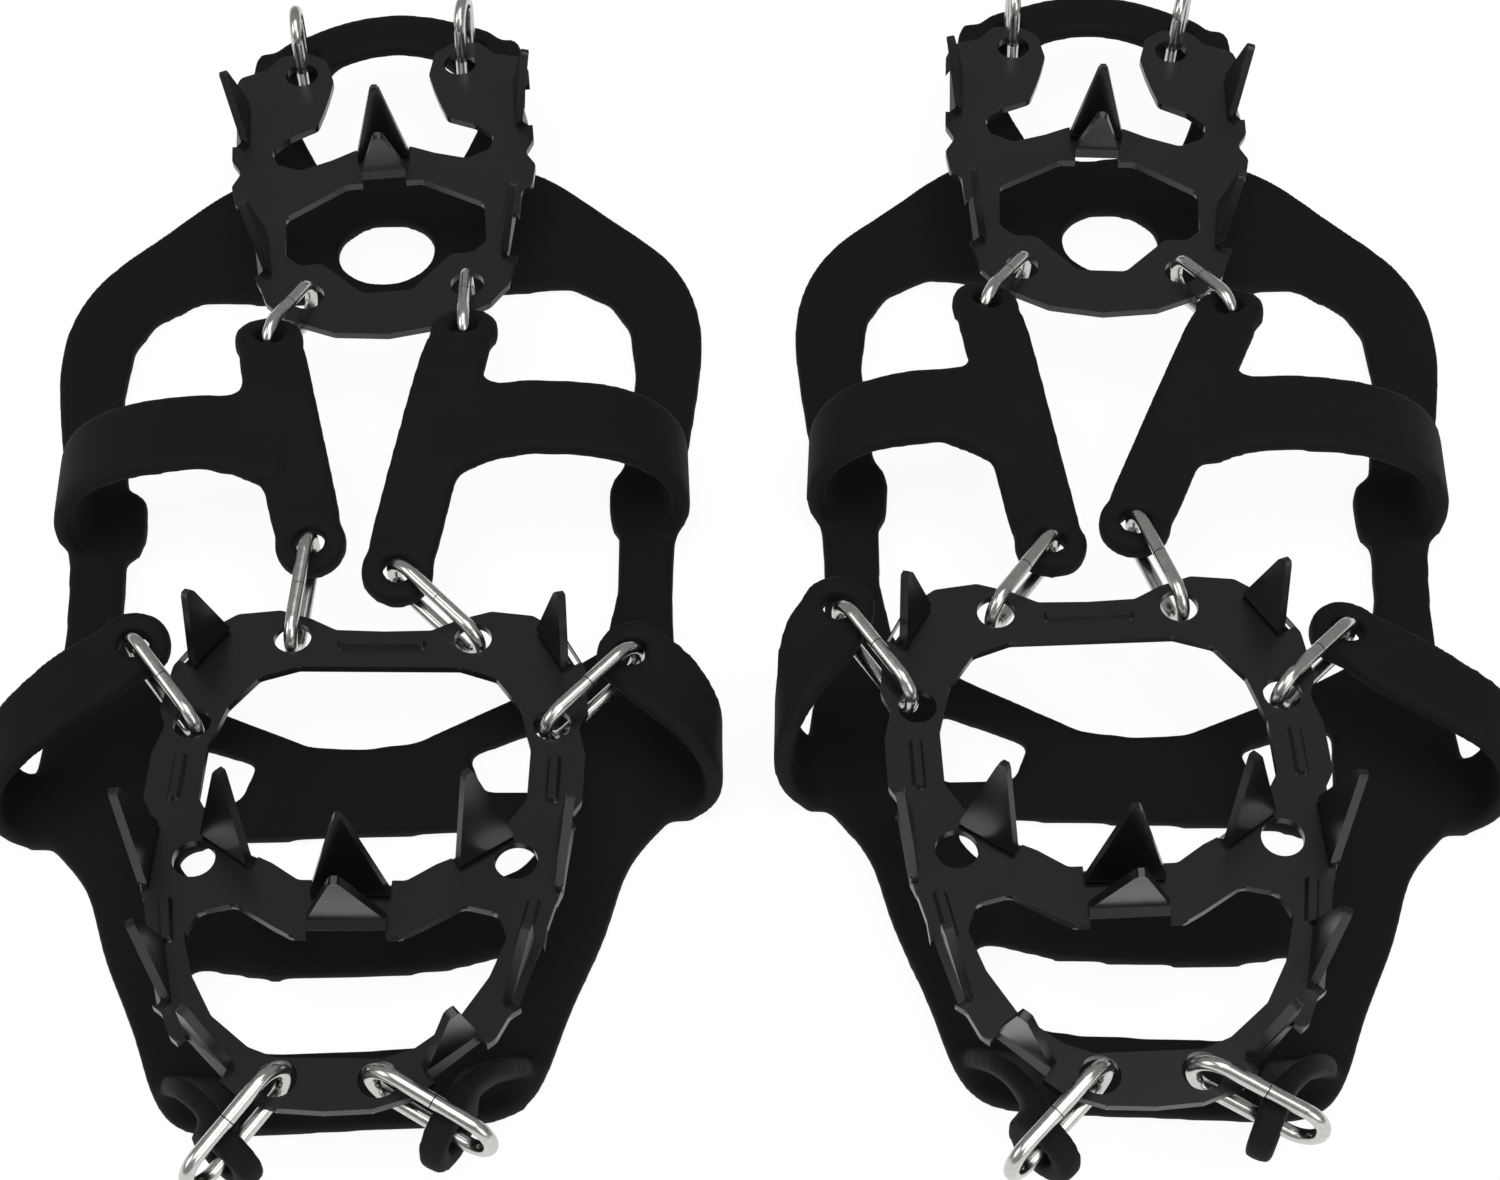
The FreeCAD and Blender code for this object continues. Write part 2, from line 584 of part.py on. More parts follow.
def make_cleat(side):
    """One complete cleat: its plates, links and harness, all carried by the cleat's frame."""
    lay = LAY[side]
    half, yaw = lay["cleat"]
    across = half * size("pair_pitch") + size("pair_side_shift")
    frame = pose(across, size("pair_rear_shift"), 0, 0, yaw)
    heel, forefoot = pose(*lay["heel_plate"]), pose(*lay["forefoot_plate"])
    made = [(make_heel_plate(side + "_heel_plate"), heel),
            (make_forefoot_plate(side + "_forefoot_plate"), forefoot)]
    plates_and_holes = {"heel_front": (heel, HEEL_FRONT_HOLE), "forefoot_rear": (forefoot, REAR_HOLE),
                        "forefoot_side": (forefoot, SIDE_HOLE), "toe": (forefoot, FRONT_HOLE)}
    seats = {}
    for name, sign in (("left", -1), ("right", 1)):
        for place, (plate, hole) in plates_and_holes.items():
            key = f"{place}_{name}"
            seats[key] = LinkSeat(plate, (sign * hole[0], hole[1]), link_length(key), *lay[key])
        key = "heel_rear_" + name
        hole = (sign * HEEL_REAR_HOLE[0], HEEL_REAR_HOLE[1])
        seats[key] = StandingSeat(heel, hole, *lay[key])
    for key, seat in seats.items():
        made.append((make_link(f"{side}_{key}_link", link_length(key)), seat.placement))
    made.append((make_harness(side + "_harness", seats), Placement()))
    for item, local in made:
        item.Placement = frame * local
    return [item for item, local in made]


pieces = make_cleat("left") + make_cleat("right")
doc.recompute()

for item in doc.Objects:
    if "Invalid" in item.State or "Error" in item.State:
        raise RuntimeError(f"{item.Label} failed: {item.State}")
for piece in pieces:
    if piece.Shape.isNull() or not piece.Shape.isValid():
        raise RuntimeError(f"{piece.Label} has no valid shape")

os.makedirs("parts", exist_ok=True)
for piece in pieces:
    piece.Shape.exportStep(os.path.join("parts", piece.Label + ".step"))
box = Part.makeCompound([piece.Shape for piece in pieces]).BoundBox
print("pieces", len(pieces), "box", box)
for piece in pieces:
    print(piece.Label, len(piece.Shape.Solids), round(piece.Shape.Volume, 1))
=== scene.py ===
import math

import bpy
from mathutils import Matrix, Vector


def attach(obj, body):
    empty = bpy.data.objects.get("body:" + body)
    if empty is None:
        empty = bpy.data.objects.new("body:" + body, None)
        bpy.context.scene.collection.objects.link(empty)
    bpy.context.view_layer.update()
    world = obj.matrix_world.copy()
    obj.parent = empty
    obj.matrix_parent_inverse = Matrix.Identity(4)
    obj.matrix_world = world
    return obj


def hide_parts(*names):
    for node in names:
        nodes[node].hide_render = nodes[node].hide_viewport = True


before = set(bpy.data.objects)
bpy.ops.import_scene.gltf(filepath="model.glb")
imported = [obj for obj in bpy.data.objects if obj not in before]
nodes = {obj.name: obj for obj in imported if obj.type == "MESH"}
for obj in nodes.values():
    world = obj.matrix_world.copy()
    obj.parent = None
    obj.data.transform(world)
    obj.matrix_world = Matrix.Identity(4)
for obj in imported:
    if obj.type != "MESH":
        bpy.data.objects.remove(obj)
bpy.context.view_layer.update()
scene = bpy.context.scene
MM = 0.001

# ------------------------------------------------------------------ the view and its light
# The pair lies on a white sweep with the spikes up and is seen from the toe end, from half way
# up.  Wide soft lamps and a white room light it, and the floor keeps a faint shadow.
camera_data = bpy.data.cameras.new("camera")
camera_data.sensor_width = 36.0
camera_data.lens = 65.44
camera = bpy.data.objects.new("camera", camera_data)
camera.location = (-0.0023, -0.3418, 0.4326)
camera.rotation_euler = [math.radians(turn) for turn in (37.73, 0.39, -0.8)]
scene.collection.objects.link(camera)
scene.camera = camera
scene.view_settings.view_transform = "Standard"


def linear(code):
    """The linear colour of an sRGB hex code."""
    shares = [int(code[i:i + 2], 16) / 255 for i in (0, 2, 4)]
    return [s / 12.92 if s <= 0.04045 else ((s + 0.055) / 1.055) ** 2.4 for s in shares] + [1.0]


def add_node(tree, kind, settings=None, links=None):
    """Adds a shader node: settings are attributes or input values, links are input sources."""
    node = tree.nodes.new(kind)
    for key, value in (settings or {}).items():
        if isinstance(key, str) and hasattr(node, key):
            setattr(node, key, value)
        else:
            node.inputs[key].default_value = value
    for key, source in (links or {}).items():
        tree.links.new(source, node.inputs[key])
    return node


def seen_rays(tree):
    """1 where the camera, a mirror image or a look through glass meets the surface."""
    path = add_node(tree, "ShaderNodeLightPath")
    first = add_node(tree, "ShaderNodeMath", {"operation": "MAXIMUM"},
                     {0: path.outputs["Is Camera Ray"], 1: path.outputs["Is Glossy Ray"]})
    return add_node(tree, "ShaderNodeMath", {"operation": "MAXIMUM"},
                    {0: first.outputs[0], 1: path.outputs["Is Transmission Ray"]}).outputs[0]


room = bpy.data.worlds.new("white_room")
room.use_nodes = True
scene.world = room
tree = room.node_tree
tree.nodes.clear()
lit = add_node(tree, "ShaderNodeBackground", {"Color": linear("ffffff"), "Strength": 0.3})
shown = add_node(tree, "ShaderNodeBackground", {"Color": linear("ffffff"), "Strength": 1.0})
path = add_node(tree, "ShaderNodeLightPath")
mixed = add_node(tree, "ShaderNodeMixShader", {},
                 {0: path.outputs["Is Camera Ray"], 1: lit.outputs[0], 2: shown.outputs[0]})
add_node(tree, "ShaderNodeOutputWorld", {}, {"Surface": mixed.outputs[0]})

# The sweep lies a hair below the pair, so that no face of it meets the underside.
bpy.ops.object.select_all(action="DESELECT")
bpy.ops.mesh.primitive_plane_add(size=6.0, location=(0, 0, -0.0003))
floor = bpy.context.object
floor.name = "floor"
sweep = bpy.data.materials.new("white_paper_sweep")
sweep.use_nodes = True
tree = sweep.node_tree
tree.nodes.clear()
paper = add_node(tree, "ShaderNodeBsdfDiffuse", {"Color": linear("f2f2f2")})
glow = add_node(tree, "ShaderNodeEmission", {"Color": linear("ffffff"), "Strength": 1.08})
share = add_node(tree, "ShaderNodeMath", {"operation": "MULTIPLY", 1: 0.85}, {0: seen_rays(tree)})
white = add_node(tree, "ShaderNodeMixShader", {},
                 {0: share.outputs[0], 1: paper.outputs[0], 2: glow.outputs[0]})
add_node(tree, "ShaderNodeOutputMaterial", {}, {"Surface": white.outputs[0]})
floor.data.materials.append(sweep)

# Each lamp: its place and width in metres and its power in watts.
LAMPS = (("lamp_overhead", (0.05, -0.3, 1.05), 0.9, 5.5),
         ("lamp_left", (-0.95, -0.35, 0.7), 0.7, 3.0),
         ("lamp_over_toe", (0.6, -0.9, 0.6), 0.7, 3.0))
for name, place, width, power in LAMPS:
    lamp_data = bpy.data.lights.new(name, "AREA")
    lamp_data.shape = "SQUARE"
    lamp_data.size = width
    lamp_data.energy = power
    lamp = bpy.data.objects.new(name, lamp_data)
    lamp.location = place
    lamp.rotation_euler = (-Vector(place)).to_track_quat("-Z", "Y").to_euler()
    scene.collection.objects.link(lamp)

# ------------------------------------------------------------------------- rubber harness
# The harness is one moulding of black TPE rubber, 3.6 mm thick, with round bosses where the
# links pass and soft mould edges.  Its straps fold over from the layer that lies on the floor.
# Sizes are in millimetres, in the cleat's own frame.
STRAP_THICKNESS = 3.6
BOSS_DIAMETER, BOSS_THICKNESS = 13.8, 4.6
TOE_BOSS_DIAMETER, HEEL_BOSS_THICKNESS = 13.6, 4.0
STRAP_HOLE, CUTTER_LENGTH = 5.8, 15.0
CLEATS = {"left": ((-75.9, -15.2), 2.0), "right": ((74.1, -15.2), -3.5)}
# Each strap hole's centre in its cleat's frame, and its link's compass angle and rise.
STRAP_HOLES = {
    "left": {
        "heel_front": (((-18.94, 50.91, 29.29), (-111, 17)), ((20.26, 51.48, 29.29), (-90, 17))),
        "forefoot_rear": (((-8.79, 1.86, 24.78), (82, 12)), ((8.03, -5.95, 24.81), (135, 12))),
        "forefoot_side": (((-40.63, -20.49, 24.27), (125, 8)), ((52.36, -27.6, 24.28), (42, 8))),
        "toe": (((-17.38, -121.69, 17.44), (-132, 0)), ((19.16, -119.62, 17.4), (-30, 0))),
        "heel_rear": (((-17.82, 145.86, 19.38), (93, 0)), ((19.58, 147.54, 19.38), (80, 0)))},
    "right": {
        "heel_front": (((-29.41, 55.47, 29.29), (-117, 17)), ((19.95, 55.76, 29.29), (-61, 17))),
        "forefoot_rear": (((-17.43, -6.2, 29.27), (59, -4)), ((-1.53, -1.62, 30.53), (111, 0))),
        "forefoot_side": (((-57.2, -24.72, 31.26), (126, 4)), ((36.83, -23.76, 27.94), (50, -6))),
        "toe": (((-20.05, -125.79, 20.02), (-133, 0)), ((17.35, -119.77, 20.04), (-22, 0))),
        "heel_rear": (((-23.07, 149.82, 19.38), (93, 0)), ((15.49, 149.42, 19.38), (74, 0)))}}


def use(piece):
    """Makes piece the only selected and active object."""
    bpy.ops.object.select_all(action="DESELECT")
    piece.select_set(True)
    bpy.context.view_layer.objects.active = piece


def modify(piece, kind, **settings):
    """Adds a modifier and applies it at once."""
    use(piece)
    modifier = piece.modifiers.new(kind.lower(), kind)
    for key, value in settings.items():
        setattr(modifier, key, value)
    bpy.ops.object.modifier_apply(modifier=modifier.name)


def copy_of(node, name):
    """A merged copy of a CAD node's mesh, on a body of its own."""
    piece = bpy.data.objects.new(name, nodes[node].data.copy())
    scene.collection.objects.link(piece)
    piece.data.materials.clear()
    use(piece)
    bpy.ops.object.mode_set(mode="EDIT")
    bpy.ops.mesh.select_all(action="SELECT")
    bpy.ops.mesh.remove_doubles(threshold=0.002 * MM)
    bpy.ops.object.mode_set(mode="OBJECT")
    return piece


def cleat_frame(side):
    """The matrix from a cleat's own millimetres to the row frame's metres."""
    (x, y), yaw = CLEATS[side]
    return (Matrix.Translation((x * MM, y * MM, 0)) @ Matrix.Rotation(math.radians(yaw), 4, "Z")
            @ Matrix.Scale(MM, 4))


def heading(azimuth, rise=0.0):
    """A unit vector from its compass angle about Z and its rise, in degrees."""
    turn, lift = math.radians(azimuth), math.radians(rise)
    return Vector((math.cos(turn) * math.cos(lift), math.sin(turn) * math.cos(lift), math.sin(lift)))


def strap(name, stations):
    """A solid strap through stations of (centre, across, width) in mm, eased into one curve."""
    corners = []
    for index, (centre, across, width) in enumerate(stations):
        before, after = stations[max(index - 1, 0)][0], stations[min(index + 1, len(stations) - 1)][0]
        run = (Vector(after) - Vector(before)).normalized()
        side = (Vector(across) - run * run.dot(Vector(across))).normalized() * (width / 2)
        corners += [Vector(centre) - side, Vector(centre), Vector(centre) + side]
    faces = []
    for index in range(len(stations) - 1):
        first = 3 * index
        faces += [(first + i, first + i + 1, first + i + 4, first + i + 3) for i in (0, 1)]
    mesh = bpy.data.meshes.new(name)
    mesh.from_pydata(corners, [], faces)
    piece = bpy.data.objects.new(name, mesh)
    scene.collection.objects.link(piece)
    edges = mesh.attributes.new("crease_edge", "FLOAT", "EDGE")
    for edge in mesh.edges:
        ends = sorted(edge.vertices)
        across_end = ends[1] - ends[0] < 3 and (ends[0] < 3 or ends[1] >= len(corners) - 3)
        edges.data[edge.index].value = 1.0 if across_end else 0.0
    modify(piece, "SUBSURF", levels=3, render_levels=3)
    modify(piece, "SOLIDIFY", thickness=STRAP_THICKNESS, offset=0.0)
    return piece


def boss(name, centre, axis, diameter, thickness):
    """A round boss, or a hole cutter, centred on its middle plane, in mm."""
    turn = axis.to_track_quat("Z", "Y").to_matrix().to_4x4()
    bpy.ops.mesh.primitive_cylinder_add(vertices=48, radius=diameter / 2, depth=thickness)
    piece = bpy.context.object
    piece.name = name
    piece.data.transform(Matrix.Translation(centre) @ turn)
    return piece


def fold(shape, reach, station, root_level, height, side):
    """The side view of a strap that folds up from the floor layer, as points in mm."""
    flat_shares, rising_shares = shape
    return ([Vector((share * reach * side, station, root_level)) for share in flat_shares]
            + [Vector((share * reach * side, station, rise * height)) for share, rise in rising_shares])


# The straps' widths, and where each leaves the floor layer.  A fold's shape gives the shares of
# its reach that lie flat, and then the shares of its reach and height on the way up.
ROOT_LEVEL = 1.6
STEM_WIDTH, STEM_END_RUN = 13.4, 9
MID_STATION, MID_WIDTH, MID_ROOT_LEVEL = 27, 18, 1.62
MID_FOLD = ((0.76, 0.9), ((0.97, 0.12), (1.0, 0.32), (0.985, 0.55), (0.93, 0.75), (0.84, 0.9),
                          (0.7, 1.0), (0.5, 1.04)))
MID_REACH = {"left": (61, 63), "right": (63, 62)}
# The middle strap's fillets into the T's stem: distance from the stem's middle line, and width.
MID_FLARE, MID_END_WIDTH = ((14, 18), (9.5, 20), (6.5, 25)), 27
SIDE_STATION, SIDE_REACH, SIDE_WIDTH = -42, 67, 15
SIDE_FOLD = ((0.8, 0.92), ((0.98, 0.25), (1.0, 0.55), (0.97, 0.95)))
TOE_ROOT, TOE_WIDTH, TOE_STEPS = (27, -100), 13, 5
HEEL_LEG_ROOT, HEEL_LEG_WIDTH = ((19, 118), (20, 126)), 11
HEEL_LEG_TURN, HEEL_LEG_TURN_WIDTH, HEEL_LEG_END_WIDTH = (26, 135), 9.4, 8.2
REAR_BAND_WIDTH, REAR_BAND_LEVEL, REAR_BAND_BULGE, REAR_BAND_STEPS = 11.5, 20, 28, 8
ACROSS, FORWARD, UP = Vector((1, 0, 0)), Vector((0, 1, 0)), Vector((0, 0, 1))


def tee(tag, top_hole, bottom_hole, reach, side):
    """An upright T piece: a stem between two link holes, and the middle strap beside it."""
    (top, top_turn), (bottom, bottom_turn) = top_hole, bottom_hole
    top, bottom = Vector(top), Vector(bottom)
    run = Vector((bottom.x - top.x, bottom.y - top.y, 0)).normalized()
    after_top = top + run * STEM_END_RUN + UP * heading(*top_turn).z * STEM_END_RUN
    before_bottom = bottom - run * STEM_END_RUN + UP * heading(*bottom_turn).z * STEM_END_RUN
    middle = (after_top + before_bottom) / 2
    stem = strap(tag + "_stem", [(point, ACROSS, STEM_WIDTH)
                                 for point in (top, after_top, middle, before_bottom, bottom)])
    share = (after_top.y - MID_STATION) / (after_top.y - before_bottom.y)
    joint = after_top + (before_bottom - after_top) * share
    stations = [(point, FORWARD, MID_WIDTH)
                for point in fold(MID_FOLD, reach, MID_STATION, MID_ROOT_LEVEL, joint.z, side)]
    stations += [(Vector((joint.x + ahead * side, MID_STATION, joint.z)), FORWARD, width)
                 for ahead, width in MID_FLARE]
    stations.append((Vector((joint.x, MID_STATION, joint.z)), FORWARD, MID_END_WIDTH))
    return [stem, strap(tag + "_mid", stations)]


def side_strap(tag, hole, side):
    """The side strap that folds up from the outer band and reaches in to its link hole."""
    end, rise = Vector(hole[0]), heading(*hole[1]).z
    points = fold(SIDE_FOLD, SIDE_REACH, SIDE_STATION, ROOT_LEVEL, end.z, side)
    elbow = (points[-1] + end) * 0.5
    elbow.z = end.z + 0.7 * rise * (elbow - end).length
    stations = [(point, FORWARD, SIDE_WIDTH) for point in points]
    stations += [(elbow, (0.3 * side, 1, 0), SIDE_WIDTH), (end, (0.5 * side, 1, 0), SIDE_WIDTH)]
    return strap(tag + "_side", stations)


def toe_strap(tag, end, side):
    """The toe strap, which turns from flat on the floor to upright on its way to its link."""
    root = Vector((TOE_ROOT[0] * side, TOE_ROOT[1], ROOT_LEVEL))
    stations = []
    for step in range(TOE_STEPS + 1):
        part = step / TOE_STEPS
        turn = math.radians(90 * min(1, 1.25 * part))
        centre = root + (end - root) * part
        centre.z = root.z + (end.z - root.z) * math.sin(turn)
        stations.append((centre, (side * math.cos(turn), 0, math.sin(turn)), TOE_WIDTH))
    return strap(tag + "_toe", stations)


def heel_leg(tag, end, side):
    """The leg that rises from the heel panel, outside its link hole, to the rear band."""
    outer = end.x + 8 * side
    stations = [((x * side, y, ROOT_LEVEL), ACROSS, HEEL_LEG_WIDTH) for x, y in HEEL_LEG_ROOT]
    stations += [((0.5 * (HEEL_LEG_TURN[0] * side + outer), HEEL_LEG_TURN[1], 0.45 * end.z), ACROSS,
                  HEEL_LEG_TURN_WIDTH),
                 ((outer, end.y - 4, 0.92 * end.z), ACROSS, HEEL_LEG_END_WIDTH),
                 ((outer - side, end.y + 3, end.z), ACROSS, HEEL_LEG_END_WIDTH)]
    return strap(tag + "_leg", stations)


def rear_band(side_name, first, last):
    """The band round the back of the heel, bowed out behind its two link holes."""
    stations = []
    for step in range(REAR_BAND_STEPS + 1):
        part = step / REAR_BAND_STEPS
        centre = first + (last - first) * part + FORWARD * REAR_BAND_BULGE * part * (1 - part)
        centre.z = REAR_BAND_LEVEL
        stations.append((centre, FORWARD, REAR_BAND_WIDTH))
    return strap(side_name + "_rear_band", stations)


def harness_straps(side_name):
    """The straps and bosses of one cleat, in the cleat's millimetres, and its hole cutters."""
    holes = STRAP_HOLES[side_name]
    solids, cutters = [], []
    for index, side in enumerate((-1, 1)):
        tag = f"{side_name}_{index}"
        top, bottom, beside = (holes[key][index]
                               for key in ("heel_front", "forefoot_rear", "forefoot_side"))
        toe, toe_turn = Vector(holes["toe"][index][0]), holes["toe"][index][1]
        rear = Vector(holes["heel_rear"][index][0])
        solids += tee(tag, top, bottom, MID_REACH[side_name][index], side)
        solids += [side_strap(tag, beside, side), toe_strap(tag, toe, side), heel_leg(tag, rear, side)]
        rims = []
        for place, turn in (top, bottom, beside):
            along = heading(*turn)
            axis = (UP - along * along.z).normalized()
            rims.append((Vector(place), axis, BOSS_DIAMETER, BOSS_THICKNESS))
        rims.append((toe, heading(toe_turn[0]), TOE_BOSS_DIAMETER, BOSS_THICKNESS))
        rims.append((rear, UP, BOSS_DIAMETER, HEEL_BOSS_THICKNESS))
        for place, axis, diameter, thickness in rims:
            solids.append(boss(tag + "_boss", place, axis, diameter, thickness))
            cutters.append(boss(tag + "_hole", place, axis, STRAP_HOLE, CUTTER_LENGTH))
    first, last = (Vector(hole[0]) for hole in holes["heel_rear"])
    solids.append(rear_band(side_name, first, last))
    return solids, cutters


def join(pieces):
    """Joins the pieces into the first one."""
    bpy.ops.object.select_all(action="DESELECT")
    for piece in pieces:
        piece.select_set(True)
    bpy.context.view_layer.objects.active = pieces[0]
    bpy.ops.object.join()
    return pieces[0]


def pick(piece, kind, indices):
    """Leaves the piece in edit mode with only these of its faces or edges selected."""
    use(piece)
    bpy.ops.object.mode_set(mode="EDIT")
    bpy.ops.mesh.select_mode(type=kind)
    bpy.ops.mesh.select_all(action="DESELECT")
    bpy.ops.object.mode_set(mode="OBJECT")
    parts = piece.data.polygons if kind == "FACE" else piece.data.edges
    for index in indices:
        parts[index].select = True
    bpy.ops.object.mode_set(mode="EDIT")


def keep_flat_faces(piece, facing, level, slack):
    """Keeps only the faces at one level that face up (1) or down (-1), and stays in edit mode."""
    mesh = piece.data
    flat = [face.index for face in mesh.polygons if face.normal.z * facing > 0.99
            and all(abs(mesh.vertices[v].co.z - level) < slack for v in face.vertices)]
    pick(piece, "FACE", flat)
    bpy.ops.mesh.select_all(action="INVERT")
    bpy.ops.mesh.delete(type="FACE")
    bpy.ops.mesh.select_all(action="SELECT")


def floor_layer(side_name):
    """The flat layer that lies on the floor, drawn out from the CAD node's underside."""
    piece = copy_of(side_name + "_harness", side_name + "_rubber_harness")
    keep_flat_faces(piece, -1, 0, 0.05 * MM)
    bpy.ops.mesh.extrude_region_move(
        TRANSFORM_OT_translate={"value": (0, 0, STRAP_THICKNESS * MM)})
    bpy.ops.mesh.select_all(action="SELECT")
    bpy.ops.mesh.normals_make_consistent(inside=False)
    bpy.ops.object.mode_set(mode="OBJECT")
    return piece


def speckle(tree, scale, detail):
    """A noise in the object's own metres."""
    place = add_node(tree, "ShaderNodeTexCoord")
    return add_node(tree, "ShaderNodeTexNoise", {"Scale": scale, "Detail": detail},
                    {"Vector": place.outputs["Object"]})


def two_toned(tree, noise, dark, light):
    """Colours a material between two sRGB hex codes by a noise."""
    tone = add_node(tree, "ShaderNodeMix", {"data_type": "RGBA"}, {"Factor": noise.outputs["Fac"]})
    for socket, code in ((6, dark), (7, light)):
        tone.inputs[socket].default_value = linear(code)
    tree.links.new(tone.outputs[2], tree.nodes["Principled BSDF"].inputs["Base Color"])


def roughened(tree, noise, strength, depth):
    """Bumps a material's surface by a noise, to a depth in mm."""
    bump = add_node(tree, "ShaderNodeBump", {"Strength": strength, "Distance": depth * MM},
                    {"Height": noise.outputs["Fac"]})
    tree.links.new(bump.outputs["Normal"], tree.nodes["Principled BSDF"].inputs["Normal"])


rubber = bpy.data.materials.new("black_moulded_rubber")
rubber.use_nodes = True
tree = rubber.node_tree
shader = tree.nodes["Principled BSDF"]
shader.inputs["Roughness"].default_value = 0.78
shader.inputs["Specular IOR Level"].default_value = 0.18
# Slow bloom patches of about 25 mm and a moulded grain of about 0.4 mm.
two_toned(tree, speckle(tree, 40.0, 4.0), "0f0f0f", "151516")
roughened(tree, speckle(tree, 2500.0, 3.0), 0.25, 0.05)

# The voxels blend straps, bosses and layer into one moulding; the second pass evens out the rims
# of the link holes, and the smoothing softens every mould edge.
FIRST_VOXEL, LAST_VOXEL, SMOOTHINGS = 0.8, 0.85, 6
for side_name in CLEATS:
    solids, cutters = harness_straps(side_name)
    straps = join(solids)
    straps.data.transform(cleat_frame(side_name))
    holes = join(cutters)
    holes.data.transform(cleat_frame(side_name))
    harness = join([floor_layer(side_name), straps])
    modify(harness, "REMESH", mode="VOXEL", voxel_size=FIRST_VOXEL * MM)
    modify(harness, "BOOLEAN", operation="DIFFERENCE", object=holes, solver="EXACT")
    bpy.data.objects.remove(holes)
    modify(harness, "REMESH", mode="VOXEL", voxel_size=LAST_VOXEL * MM)
    modify(harness, "SMOOTH", factor=0.5, iterations=SMOOTHINGS)
    for vertex in harness.data.vertices:
        vertex.co.z = max(vertex.co.z, 0.0)
    use(harness)
    bpy.ops.object.shade_smooth()
    harness.data.materials.append(rubber)
    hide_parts(side_name + "_harness")
    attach(harness, side_name + "_harness")

# ------------------------------------------------------------------------- stamped plates
# Heel and forefoot plates are stamped and bent from 1.6 mm steel sheet and coated black, with
# the spikes turned up out of the same sheet and short beads pressed in for stiffness.
PLATE_THICKNESS, EDGE_SOFTENING = 1.6, 0.3
BEND_RADIUS, BEND_STEPS = 1.2, 5
SPIKE_TIP = 1.3
# Each plate's place in its cleat's frame in mm, and its pitch and yaw in degrees.
PLATE_POSES = {
    "left_heel_plate": (2, 102, 24, 0, 3), "left_forefoot_plate": (2.5, -66, 22, -2, -3.5),
    "right_heel_plate": (-5, 105, 24, 0, 0), "right_forefoot_plate": (-7, -69, 28, 2, 5)}
# Each spike: place of its foot, compass angle that it faces, width, length and lean outwards.
HEEL_SPIKES = (
    (32.0, 19, 0, 13.8, 15.5, 2), (27.5, -21, -5, 12.7, 15.5, 2),
    (-32.0, 19, 180, 13.8, 15.5, 2), (-27.5, -21, 185, 12.7, 15.5, 2),
    (0, 8.2, 90, 11.5, 18.5, 0), (0, -1.2, -90, 9.8, 13, 2))
FOREFOOT_SPIKES = (
    (34.2, 45.4, 30, 10.9, 15.5, 2), (38.8, -3, 0, 14.5, 20, 2), (21.5, 0.7, 126, 11.6, 21, 2),
    (32.8, -27, -14, 13, 16.8, 2), (21.8, -43.6, -49, 11.3, 16.8, 2))
FOREFOOT_SPIKES += tuple((-x, y, 180 - turn, base, rise, lean)
                         for x, y, turn, base, rise, lean in FOREFOOT_SPIKES)
FOREFOOT_SPIKES += ((0, -8.0, 90, 14.5, 21, 0), (0, -18.2, -90, 14.5, 16.8, 2))
# Each pressed bead: its middle, length and compass angle.
FOREFOOT_BEADS = ((0, 45.3, 15, 0), (34, 14.5, 9, 90), (-34, 14.5, 9, 90),
                  (31.5, -16, 8, 80), (-31.5, -16, 8, 100))
# A bead is pressed in three steps, each an inset share of half the width and a share of the rise.
BEAD_WIDTH, BEAD_RISE, BEAD_SPREAD = 1.8, 1.0, 1.4
BEAD_STEPS, BEAD_STEPS_TOTAL = ((0.25, 0.7), (0.25, 1.0), (0.15, 0.55)), 2.25


def plate_frame(node):
    """The matrix from a plate's own millimetres to the row frame's metres."""
    x, y, height, pitch, yaw = PLATE_POSES[node]
    return (cleat_frame(node.split("_")[0]) @ Matrix.Translation((x, y, height))
            @ Matrix.Rotation(math.radians(yaw), 4, "Z")
            @ Matrix.Rotation(math.radians(pitch), 4, "X"))


def sheet_top(node):
    """The plate's flat top face alone, in its own millimetres."""
    piece = copy_of(node, node + "_model")
    piece.data.transform(plate_frame(node).inverted())
    keep_flat_faces(piece, 1, PLATE_THICKNESS, 0.02)
    bpy.ops.mesh.dissolve_limited(angle_limit=math.radians(0.2))
    bpy.ops.object.mode_set(mode="OBJECT")
    return piece


def foot_edge(mesh, foot, outward, along, base):
    """The longest straight edge of the sheet that lies along a spike's foot, and its length."""
    best, length = None, 0
    for edge in mesh.edges:
        ends = [mesh.vertices[v].co - foot for v in edge.vertices]
        run = ends[1] - ends[0]
        beside = all(-2.0 < end.dot(outward) < 0.6 and abs(end.dot(along)) < base / 2 + 0.5
                     for end in ends)
        if beside and run.length > length and abs(run.normalized().dot(along)) > 0.999:
            best, length = edge, run.length
    return best, length


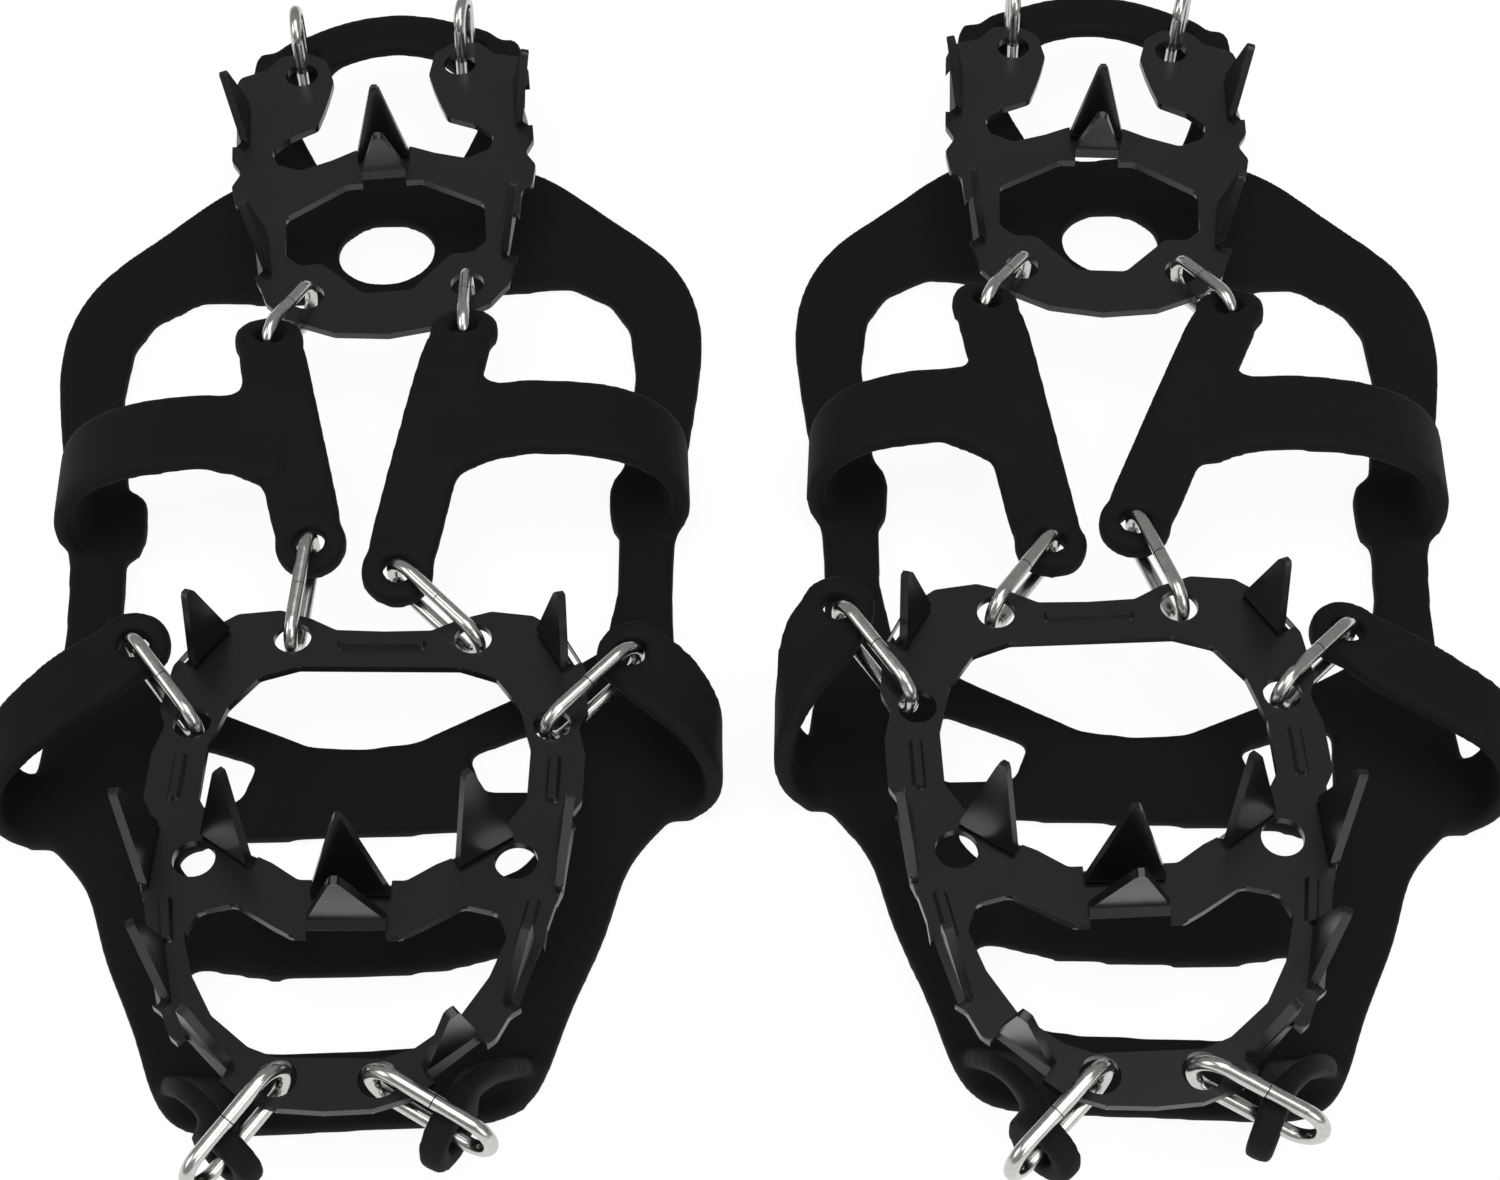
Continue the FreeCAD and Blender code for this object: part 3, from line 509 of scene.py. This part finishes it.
def bend_up_spike(piece, foot_x, foot_y, azimuth, base, rise, lean):
    """Turns a spike up out of the sheet at the straight edge beside its foot."""
    mesh = piece.data
    outward, up = heading(azimuth), heading(azimuth, 90 - lean)
    along = Vector((-outward.y, outward.x, 0))
    foot = Vector((foot_x, foot_y, PLATE_THICKNESS))
    edge, width = foot_edge(mesh, foot, outward, along, base)
    ends = [mesh.vertices[v].co for v in edge.vertices]
    middle = (ends[0] + ends[1]) / 2 - outward * BEND_RADIUS
    pick(piece, "EDGE", [edge.index])
    bpy.ops.transform.translate(value=-outward * BEND_RADIUS)
    # The bend: the edge is spun about a line above it until it points up the spike.
    centre = middle + UP * BEND_RADIUS
    turn = math.radians(90 - lean)
    bpy.ops.mesh.spin(steps=BEND_STEPS, angle=turn, center=centre, axis=-along, dupli=False)
    here = centre + BEND_RADIUS * (outward * math.sin(turn) - UP * math.cos(turn))
    # The blade: it narrows to the shoulder of its tip, and then to the blunt tip itself.
    bend_end, straight = here, (foot + up * rise - here).dot(up)
    for share, tip_width in ((0.95, 1.6 * SPIKE_TIP), (1.0, 0.8 * SPIKE_TIP)):
        target = bend_end + up * straight * share
        bpy.ops.mesh.extrude_edges_move(TRANSFORM_OT_translate={"value": target - here})
        bpy.ops.transform.resize(value=[tip_width / width] * 3, center_override=target)
        here, width = target, tip_width
    bpy.ops.object.mode_set(mode="OBJECT")


def press_bead(piece, x, y, length, azimuth):
    """Closes a bead's outline in the sheet and presses it up to a rounded ridge."""
    mesh = piece.data
    middle, along = Vector((x, y, PLATE_THICKNESS)), heading(azimuth)
    across = {}
    for vertex in mesh.vertices:
        lengthways = (vertex.co - middle).dot(along)
        aside = vertex.co - middle - along * lengthways
        if abs(lengthways) < length / 2 + BEAD_WIDTH and aside.length < BEAD_WIDTH:
            across[vertex.index] = aside
    rim = [edge.index for edge in mesh.edges if all(v in across for v in edge.vertices)]
    for index, aside in across.items():
        mesh.vertices[index].co += aside * (BEAD_SPREAD - 1)
    pick(piece, "EDGE", rim)
    bpy.ops.mesh.edge_face_add()
    bpy.ops.mesh.select_mode(type="FACE")
    for inset, lift in BEAD_STEPS:
        bpy.ops.mesh.inset(thickness=inset * BEAD_WIDTH / 2, depth=0)
        bpy.ops.transform.translate(value=(0, 0, BEAD_RISE * lift / BEAD_STEPS_TOTAL))
    bpy.ops.object.mode_set(mode="OBJECT")


def bent_plate(node, spikes, beads):
    """A stamped plate with its beads pressed and its spikes bent up, still without thickness."""
    piece = sheet_top(node)
    for bead in beads:
        press_bead(piece, *bead)
    for spike in spikes:
        bend_up_spike(piece, *spike)
    use(piece)
    bpy.ops.object.mode_set(mode="EDIT")
    bpy.ops.mesh.select_all(action="SELECT")
    bpy.ops.mesh.normals_make_consistent(inside=False)
    bpy.ops.object.mode_set(mode="OBJECT")
    return piece


steel = bpy.data.materials.new("black_coated_steel")
steel.use_nodes = True
tree = steel.node_tree
shader = tree.nodes["Principled BSDF"]
shader.inputs["Roughness"].default_value = 0.28
shader.inputs["Coat Weight"].default_value = 0.15
shader.inputs["Coat Roughness"].default_value = 0.2
# Hazy patches of about 17 mm, and the coat's orange peel of about 1.5 mm.
two_toned(tree, speckle(tree, 60.0, 5.0), "0d0d0e", "141516")
roughened(tree, speckle(tree, 700.0, 2.0), 0.12, 0.04)

for kind, spikes, beads in (("heel_plate", HEEL_SPIKES, ()),
                            ("forefoot_plate", FOREFOOT_SPIKES, FOREFOOT_BEADS)):
    model = bent_plate("left_" + kind, spikes, beads)
    for side_name in CLEATS:
        node = f"{side_name}_{kind}"
        plate = bpy.data.objects.new(node + "_steel", model.data.copy())
        scene.collection.objects.link(plate)
        plate.data.transform(plate_frame(node))
        modify(plate, "SOLIDIFY", thickness=PLATE_THICKNESS * MM, offset=-1.0)
        modify(plate, "BEVEL", width=EDGE_SOFTENING * MM, segments=2, limit_method="ANGLE",
               angle_limit=math.radians(50))
        use(plate)
        bpy.ops.object.shade_smooth_by_angle(angle=math.radians(35))
        modify(plate, "WEIGHTED_NORMAL", keep_sharp=True)
        plate.data.materials.append(steel)
        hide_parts(node)
        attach(plate, node)
    bpy.data.objects.remove(model)

# ---------------------------------------------------------------------------- split links
# Each link is 2.6 mm bright steel wire bent to an oval and butted, not welded, in the middle of
# one long side.  The links keep the CAD solids' shape.
wire = bpy.data.materials.new("bright_steel_wire")
wire.use_nodes = True
tree = wire.node_tree
shader = tree.nodes["Principled BSDF"]
shader.inputs["Metallic"].default_value = 1.0
# Marks of about 1 mm left by drawing the wire, which also dull it here and there.
drawn = speckle(tree, 900.0, 3.0)
two_toned(tree, drawn, "b4b2ae", "d8d6d2")
rough = add_node(tree, "ShaderNodeMapRange", {"To Min": 0.14, "To Max": 0.3},
                 {"Value": drawn.outputs["Fac"]})
tree.links.new(rough.outputs["Result"], shader.inputs["Roughness"])
for name, node in nodes.items():
    if name.endswith("_link"):
        node.data.materials.clear()
        node.data.materials.append(wire)
